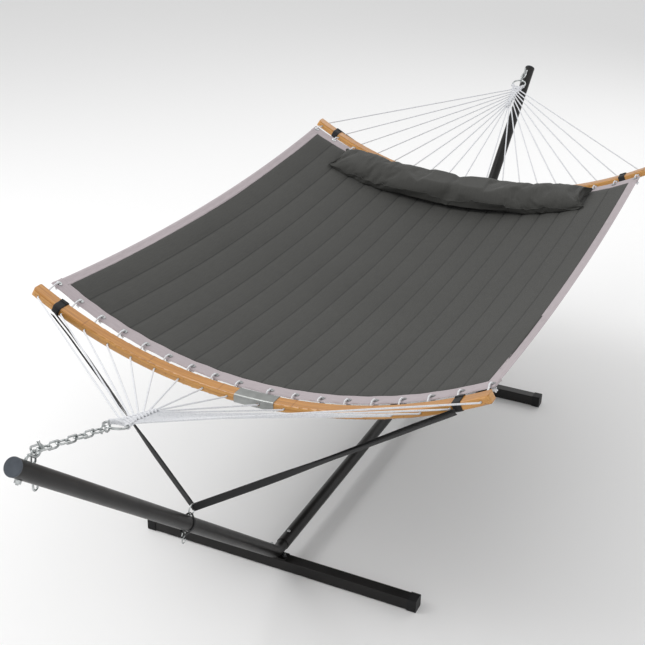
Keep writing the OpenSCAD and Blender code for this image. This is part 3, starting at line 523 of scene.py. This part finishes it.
# each rope leaves the clew, goes through the bar, over the band and down its eyelet to a knot
for end, name in ((near, "near"), (far, "far")):
    centre = middle(name + "_ring")
    centre.y = 0
    target = Vector((bar["x"][end], 0, barZ(0.55 * bar["halfSpan"])))
    spine = (target - centre).normalized()
    lift = spine.cross(Vector((0, 1, 0)))
    if lift.z < 0:
        lift = -lift
    length = ropes["clewLength"]

    def clewHalf(s):
        stops = [(0.008, 0.017), (0.028, 0.024), (0.060, 0.016), (length, 0.006)]
        for (a, x), (b, y) in zip(stops, stops[1:]):
            if s <= b:
                return mix(x, y, max(0.0, (s - a) / (b - a)))
        return stops[-1][1]

    def clewExit(i):
        return length - 0.005 - i * (length - 0.005 - ropes["firstExit"]) / (ropes["perHalf"] - 1)

    def onClew(s, y, up):
        return centre + spine * s + Vector((0, y, 0)) + lift * up

    for side, sideName in ((left, "left"), (right, "right")):
        lines, knots = [], []
        for i in range(ropes["perHalf"]):
            y = side * (ropes["first"] + i * ropes["pitch"])
            s = clewExit(i)
            out = bar["x"][end]
            edge = edgeX(end, y)
            up = upward(y)
            over = 0.0062 + ropes["radius"]
            eyeX = edge - end * bed["eyelet"]
            eye = bedPoint(eyeX, y)
            lip = bedPoint(edge, y)
            outward = Vector((end, 0, 0))
            path = [
                onClew(s, side * (clewHalf(s) - 0.003), 0.0),
                Vector((out + end * (bar["depth"] / 2 + 0.004), y, barZ(y))),
                Vector((out - end * (bar["depth"] / 2 + 0.003), y, barZ(y))),
                lip + outward * 0.0052 + up * 0.0045,
                lip - outward * 0.002 + up * over,
                eye + outward * 0.003 + up * over,
                eye + up * (over - 0.004),
                eye - up * 0.006,
            ]
            lines.append(rounded(path, 0.006))
            # an overhand knot under the eyelet
            knot = []
            for step in range(26):
                a = 2 * math.pi * step / 26
                reach = 0.0034 * (2 + math.cos(3 * a)) / 1.6
                level = Vector((1, 0, 0)) * reach * math.cos(2 * a)
                knot.append(
                    eye - up * (0.0125 + 0.0028 * math.sin(3 * a)) + level
                    + Vector((0, 1, 0)) * reach * math.sin(2 * a)
                )
            knots.append(knot)
            lines.append([
                eye - up * 0.012, eye - up * 0.019 + Vector((0.002, 0.001, 0)),
                eye - up * 0.024 + Vector((0.004, 0.003, 0)),
            ])
        ropeMesh = cordMesh(name + sideName.title() + "Ropes", lines, ropes["radius"])
        knotMesh = cordMesh(name + sideName.title() + "Knots", knots, ropes["radius"], 1, closed=True)
        piece = addPiece(name + sideName.title() + "Ropes", ropeMesh, finishes["rope"], "hammock")
        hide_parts(name + "_" + sideName + "_ropes")
        addPiece(name + sideName.title() + "Knots", knotMesh, finishes["rope"], "hammock")

    # the clew: warps from the ring to each exit, loops over the ring, and pairs that cross at each exit
    lines = []
    ringRadius, wire = 0.028, 0.003
    for layer in (-1, 1):
        for k in range(7):
            share = (k - 3) / 3
            line = []
            last = clewExit(min(8, int(abs(share) * 7)))
            for step in range(19):
                s = mix(0.020, last, step / 18)
                y = share * max(0.0, clewHalf(s) - 0.003)
                up = layer * (0.0030 + 0.0006 * math.sin(s * 370 + k))
                line.append(onClew(s, y, up))
            lines.append(line)
    for i in range(ropes["perHalf"]):
        s = clewExit(i)
        half = clewHalf(s)
        for layer in (-1, 1):
            for side in (left, right):
                tilt = 0.007 * side * layer
                line = []
                for step in range(9):
                    t = step / 8 * 2 - 1
                    bow = 0.0056 * math.sqrt(max(0.0, 1 - t * t * 0.92))
                    line.append(onClew(s - 0.006 + tilt * t, t * half, layer * bow))
                lines.append(line)
    loops = []
    for k in range(15):
        a = math.radians(mix(-62, 62, k / 14))
        outward = spine * math.cos(a) + Vector((0, math.sin(a), 0))
        hub = centre + outward * ringRadius
        turn = wire + ropes["radius"] * 0.85
        loop = []
        for step in range(16):
            b = 2 * math.pi * step / 16
            loop.append(hub + outward * turn * math.cos(b) + lift * turn * math.sin(b))
        loops.append(loop)
    clewMesh = cordMesh(name + "Clew", lines, 0.0023)
    clew = addPiece(name + "Clew", clewMesh, finishes["rope"], "hammock")
    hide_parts(name + "_clew")
    loopMesh = cordMesh(name + "RingLoops", loops, 0.0021, 1, closed=True)
    addPiece(name + "RingLoops", loopMesh, finishes["rope"], "hammock")
print("ropes and clews made")


# webbing is wrapped round the bars, strapped down to the arms and looped round them
def ribbonMesh(name, path, acrossAt, outAt, width, thick, counts, length):
    def at(u, v, side):
        spot = path(u)
        edge = 1 - (2 * v - 1) ** 10 * 0.6
        return spot + acrossAt(u) * (v - 0.5) * width + outAt(u) * side * thick / 2 * edge

    return clothMesh(
        name, counts, (length, width), lambda u, v: at(u, v, 1), lambda u, v: at(u, v, -1),
    )


def joined(name, meshes):
    bm = bmesh.new()
    for mesh in meshes:
        bm.from_mesh(mesh)
        bpy.data.meshes.remove(mesh)
    mesh = bpy.data.meshes.new(name)
    bm.to_mesh(mesh)
    bm.free()
    return mesh


# a point on a rounded rectangle, its share of the way round from 0 to 1
def roundedRectangle(share, width, height, corner):
    sides = []
    w, h = width / 2 - corner, height / 2 - corner
    arc = math.pi / 2 * corner
    for cx, cy, turn in ((w, h, 0), (-w, h, 90), (-w, -h, 180), (w, -h, 270)):
        sides.append(("arc", cx, cy, turn, arc))
        sides.append(("line", cx, cy, turn, 2 * w if turn in (0, 180) else 2 * h))
    total = sum(side[4] for side in sides)
    along = (share % 1.0) * total
    for kind, cx, cy, turn, size in sides:
        if along <= size:
            break
        along -= size
    if kind == "arc":
        a = math.radians(turn) + along / corner
        spot = Vector((cx + corner * math.cos(a), cy + corner * math.sin(a)))
        return spot, Vector((math.cos(a), math.sin(a)))
    a = math.radians(turn + 90)
    step = Vector((math.cos(a + math.pi / 2), math.sin(a + math.pi / 2)))
    facing = Vector((math.cos(a), math.sin(a)))
    return Vector((cx, cy)) + facing * corner + step * along, facing


wraps = []
for end in (near, far):
    for side in (left, right):
        y = side * webbing["y"]
        centre = Vector((bar["x"][end], y, barZ(y)))
        tangent = Vector((0, math.cos(barAngle(y)), math.sin(barAngle(y))))
        up = upward(y)

        def wrapAt(u, which):
            turned = 0.02 + u * 1.12
            lap = 0.0013 + (0.0019 if u > 0.88 else 0.0)
            grow = 2 * lap
            spot, out = roundedRectangle(turned, bar["depth"] + grow, bar["height"] + grow, bar["corner"] + lap)
            if which:
                return Vector((out.x, 0, 0)) + up * out.y
            return centre + Vector((spot.x, 0, 0)) + up * spot.y

        wraps.append(ribbonMesh(
            "wrap", lambda u: wrapAt(u, 0), lambda u: tangent, lambda u: wrapAt(u, 1),
            webbing["width"], webbing["thick"], (90, 6), 0.16,
        ))
wrapPiece = addPiece("barWraps", joined("barWraps", wraps), finishes["webbing"], "hammock")
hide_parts("bar_wraps")

armAngle = math.radians(41)
ringBox = [Vector(corner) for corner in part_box("strap_rings")]
strapRing = {
    "x": ringBox[1].x - 0.017, "z": (ringBox[0].z + ringBox[1].z) / 2, "radius": 0.015, "wire": 0.002,
}
for end, name in ((near, "near"), (far, "far")):
    meshes = []
    for side in (left, right):
        y = side * webbing["y"]
        ringPoint = Vector((end * (strapRing["x"] - 0.0105), side * 0.0006, strapRing["z"]))
        barPoint = Vector((bar["x"][end] + end * (bar["depth"] / 2 + 0.006), y, barZ(y) - 0.007))
        run = (barPoint - ringPoint).normalized()
        outward = Vector((end, 0, 0))
        upright = Vector((0, 0, 1))
        level = (outward - run * outward.dot(run)).normalized()
        tilt = -side * end * math.radians(40)
        flat = level * math.cos(tilt) + run.cross(level) * math.sin(tilt)
        for layer in (-1, 1):
            def twist(u):
                return mix(upright, flat, smooth((u - 0.22) / 0.36)).normalized()

            def path(u, layer=layer, side=side):
                normal = run.cross(twist(u))
                spread = mix(webbing["thick"] / 2 + 0.0003, 0.0045, smooth((u - 0.35) / 0.5))
                sag = -0.004 * math.sin(math.pi * u)
                shift = outward * 0.0125 * smooth((u - 0.85) / 0.15)
                return ringPoint.lerp(barPoint, u) + normal * layer * spread + Vector((0, 0, sag)) + shift * 0.4

            meshes.append(ribbonMesh(
                "strap", path, twist, lambda u: run.cross(twist(u)).normalized(),
                webbing["width"], webbing["thick"], (110, 6), 0.70,
            ))
    strap = addPiece(name + "Straps", joined(name + "Straps", meshes), finishes["webbing"])
    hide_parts(name + "_straps")
    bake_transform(strap)

loops = []
for end in (near, far):
    axis = Vector((end * math.cos(armAngle), 0, math.sin(armAngle)))
    up = Vector((-end * math.sin(armAngle), 0, math.cos(armAngle)))
    hub = Vector((end * strapRing["x"], 0, strapRing["z"])) - up * (0.021 + 0.0003 + 0.002 + 0.015)

    def loopRadius(a):
        topBulge = 0.0062 * math.exp(-((a - math.pi / 2) / 0.32) ** 2)
        return 0.0226 + topBulge + 0.0096 * math.exp(-((a + math.pi / 2) / 0.42) ** 2)

    def loopOut(u):
        a = math.pi * (2 * u - 1) * 0.9999
        return up * math.sin(a) + Vector((0, math.cos(a), 0))

    loops.append(ribbonMesh(
        "loop", lambda u: hub + loopOut(u) * loopRadius(math.pi * (2 * u - 1)),
        lambda u: axis, loopOut, 0.0125, 0.0018, (100, 6), 0.16,
    ))
loopPiece = addPiece("armLoops", joined("armLoops", loops), finishes["webbing"], "stand")
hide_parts("arm_loops")
print("webbing made")

# the pillow is a long soft roll with a seam across its middle
pillow = {
    "half": 0.535, "width": 0.205, "thick": 0.088, "back": 0.040, "lift": 0.0085, "inset": 0.006,
    "pressure": 3.2, "cap": 0.014, "frames": 18,
}


def pillowFill(across, y):
    e = abs(y) / pillow["half"]
    crown = math.sqrt(max(0.0, 1 - abs(across) ** 3)) * math.sqrt(max(0.0, 1 - e ** 5))
    return crown * (1 - 0.12 * math.exp(-(y / 0.045) ** 2)) * (1 - 0.14 * e * e)


def pillowPoint(across, y, share):
    e = abs(y) / pillow["half"]
    half = (pillow["width"] / 2 - pillow["inset"]) * (1 - 0.1 * e ** 6)
    x = edgeX(far, y) - pillow["back"] - pillow["width"] / 2 + across * half
    fill = pillowFill(across, y)
    low = 0.003 + 0.006 * (1 - fill) ** 2
    height = low + share * (0.004 + (pillow["thick"] - 0.004 - pillow["inset"]) * fill)
    return bedPoint(x, y, pillow["lift"] + height)


def pillowAt(u, v, share):
    across = 0.985 * math.sin(math.pi / 2 * (2 * u - 1))
    y = (pillow["half"] - 0.003) * math.sin(math.pi / 2 * (2 * v - 1))
    return pillowPoint(across, y, share)


pillowMesh = clothMesh(
    "pillowCushion", (40, 190), (0.24, 1.1), lambda u, v: pillowAt(u, v, 1), lambda u, v: pillowAt(u, v, 0),
    rimCuts=3,
)
cushion = addPiece("pillowCushion", pillowMesh, finishes["pillowCloth"])
bpy.context.view_layer.objects.active = cushion
cushion.select_set(True)
start = [vert.co.copy() for vert in pillowMesh.vertices]
cloth = cushion.modifiers.new("Cloth", "CLOTH")
cloth.settings.use_pressure = True
cloth.settings.uniform_pressure_force = pillow["pressure"]
cloth.settings.shrink_min = -0.05
cloth.settings.quality = 5
cloth.settings.bending_stiffness = 0.6
cloth.settings.effector_weights.gravity = 0
for frameNumber in range(1, pillow["frames"] + 1):
    scene.frame_set(frameNumber)
evaluated = cushion.evaluated_get(bpy.context.evaluated_depsgraph_get())
moved = [vert.co.copy() for vert in evaluated.data.vertices]
cushion.modifiers.remove(cloth)
scene.frame_set(1)
for vert, a, b in zip(pillowMesh.vertices, start, moved):
    step = b - a
    if step.length > pillow["cap"]:
        step *= pillow["cap"] / step.length
    vert.co = a + step
# lie on the bed, stay in the pillow's own space, and pull in along the seams
for vert in pillowMesh.vertices:
    x, y = vert.co.x, vert.co.y
    up = upward(y)
    floorPoint = bedPoint(x, y, 0.0082)
    height = (vert.co - floorPoint).dot(up)
    pinch = math.exp(-((y - 0.012) / 0.011) ** 2) * 0.006
    e = abs(y) / pillow["half"]
    crease = 0.0020 * ripple(x, y, 24, 1) * math.exp(-((y - 0.012) / 0.09) ** 2)
    crease += 0.0034 * ripple(0.5 * x + 0.3 * y, 0.5 * y - 0.6 * x, 15, 4)
    crease += 0.0034 * ripple(0.3 * x, y, 42, 9) * smooth((e - 0.3) / 0.4)
    height = height + (crease - pinch) * smooth(height / 0.03)
    height = max(0.0006, min(height, pillow["thick"] + 0.004))
    vert.co = floorPoint + up * height
addSubdivision(cushion, 1)
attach(cushion, "pillow")
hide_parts("pillow_top_fabric", "pillow_filling", "pillow_bottom_fabric")
# the closing seam runs along the front, where the cushion bulges most
seamLine = []
for step in range(81):
    y = mix(-pillow["half"] + 0.008, pillow["half"] - 0.008, step / 80)
    beside = [vert.co for vert in pillowMesh.vertices if abs(vert.co.y - y) < 0.006]
    front = min(beside, key=lambda spot: spot.x)
    seamLine.append(front + Vector((0.0004, y - front.y, 0)))
seamMesh = cordMesh("pillowSeam", [seamLine], 0.0016, 1)
addPiece("pillowSeam", seamMesh, finishes["pillowCloth"], "pillow")
print("pillow made")

# each button gets its own piece of the spring mesh, cut out near the button
springReach = 0.07
for joint in frame["joints"]:
    if not joint["name"].endswith("_press"):
        continue
    buttonName = joint["name"].replace("_press", "")
    button = middle(buttonName)
    bm = bmesh.new()
    bm.from_mesh(nodes["button_springs"].data)
    bmesh.ops.remove_doubles(bm, verts=bm.verts, dist=0.000001)
    apart = [vert for vert in bm.verts if (vert.co - button).length > springReach]
    bmesh.ops.delete(bm, geom=apart, context="VERTS")
    mesh = bpy.data.meshes.new(buttonName + "_spring")
    bm.to_mesh(mesh)
    bm.free()
    spring = addPiece(buttonName + "_spring", mesh, finishes["springSteel"])
    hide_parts("button_springs")
    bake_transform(spring)
print("springs made")

bm = bmesh.new()
bmesh.ops.create_grid(bm, x_segments=1, y_segments=1, size=30)
floorMesh = bpy.data.meshes.new("paleFloor")
bm.to_mesh(floorMesh)
bm.free()
floorMaterial, tree, shader = startMaterial("PaleFloor", 0.9)
shader.inputs["Base Color"].default_value = (0.9, 0.9, 0.9, 1)
shader.inputs["Specular IOR Level"].default_value = 0.1
floor = bpy.data.objects.new("paleFloor", floorMesh)
scene.collection.objects.link(floor)
floorMesh.materials.append(floorMaterial)

world = bpy.data.worlds.new("PaleStudio")
world.use_nodes = True
world.node_tree.nodes["Background"].inputs["Color"].default_value = (1, 1, 1, 1)
world.node_tree.nodes["Background"].inputs["Strength"].default_value = 0.72
scene.world = world
scene.view_settings.view_transform = "Standard"

studioLights = [
    ("keyLight", (-1.5, 3.2, 4.8), 3.5, 150),
    ("fillLight", (-4.5, -4.0, 3.5), 5.0, 45),
    ("backLight", (4.5, -1.0, 4.0), 4.0, 60),
]
for name, place, size, power in studioLights:
    light = bpy.data.lights.new(name, "AREA")
    light.size = size
    light.energy = power
    lamp = bpy.data.objects.new(name, light)
    scene.collection.objects.link(lamp)
    lamp.location = place
    lamp.rotation_euler = (Vector((0, 0, 0.6)) - Vector(place)).to_track_quat("-Z", "Y").to_euler()

camera = {
    "place": (-3.3445, -1.3521, 2.3410), "yaw": 24.57, "pitch": 26.25, "roll": 1.18, "lens": 64.35,
}
cameraData = bpy.data.cameras.new("camera")
cameraData.sensor_width = 36
cameraData.lens = camera["lens"]
cameraObject = bpy.data.objects.new("camera", cameraData)
scene.collection.objects.link(cameraObject)
yaw, pitch = math.radians(camera["yaw"]), math.radians(camera["pitch"])
look = Vector((math.cos(yaw) * math.cos(pitch), math.sin(yaw) * math.cos(pitch), -math.sin(pitch)))
turn = look.to_track_quat("-Z", "Y").to_matrix() @ Matrix.Rotation(math.radians(camera["roll"]), 3, "Z")
cameraObject.location = camera["place"]
cameraObject.rotation_euler = turn.to_euler()
scene.camera = cameraObject

print("scene ready")
